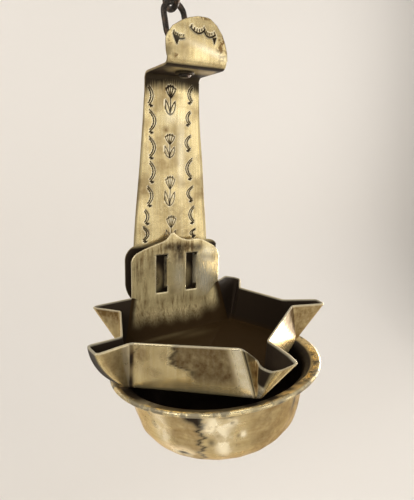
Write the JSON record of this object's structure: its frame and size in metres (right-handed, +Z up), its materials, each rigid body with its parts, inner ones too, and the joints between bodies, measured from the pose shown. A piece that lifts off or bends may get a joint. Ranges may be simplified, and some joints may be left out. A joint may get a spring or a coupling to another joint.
{
  "type": "betty lamp",
  "caption": "Hanging brass oil lamp with a pinched, spouted pan hooked on a stamped back strap above a round drip bowl, hung by a swivel and chain.",
  "frame": {"origin": "inside of the hanging ring's top, where a hook carries it", "axes": "+X to the lamp's right, -Y to its front, where the crest and the front spout are, +Z up along the strap"},
  "size_m": [0.1157, 0.1169, 0.2357],
  "materials": {
    "brass": "satin, hand-worked, with dark patina in the bends",
    "iron": "dark, oiled wrought iron"
  },
  "bodies": {
    "ring": {"hanging_ring": "iron"},
    "upper": {"upper_link": "iron"},
    "lower": {"lower_link": "iron"},
    "swivel": {"swivel_eye": "iron"},
    "lamp": {"back_strap": "brass", "swivel_washer": "brass", "drip_bowl": "brass", "bowl_rivets": "brass"},
    "pan": {"oil_pan": "brass"}
  },
  "joints": [
    {"name": "ring_swing", "type": "hinge", "parent": "ring", "child": "upper", "pos_m": [0.00173, -0.00421, -0.01973], "axis": [0.9842, 0.1699, 0.0499], "range_deg": [-70, 70]},
    {"name": "upper_link_swing", "type": "hinge", "parent": "upper", "child": "lower", "pos_m": [0.00303, -0.0074, -0.03469], "axis": [-0.1551, 0.9633, -0.2191], "range_deg": [-55, 55]},
    {"name": "lower_link_swing", "type": "hinge", "parent": "lower", "child": "swivel", "pos_m": [0.00437, -0.01065, -0.04994], "axis": [0.9842, 0.1699, 0.0499], "range_deg": [-35, 35]},
    {"name": "swivel_turn", "type": "hinge", "parent": "swivel", "child": "lamp", "pos_m": [0.00762, -0.01122, -0.0622], "axis": [0, 0, 1], "continuous": true},
    {"name": "pan_lift", "type": "slide", "parent": "lamp", "child": "pan", "axis": [0, -0.9063, 0.4226], "range_m": [0, 0.09]}
  ]
}
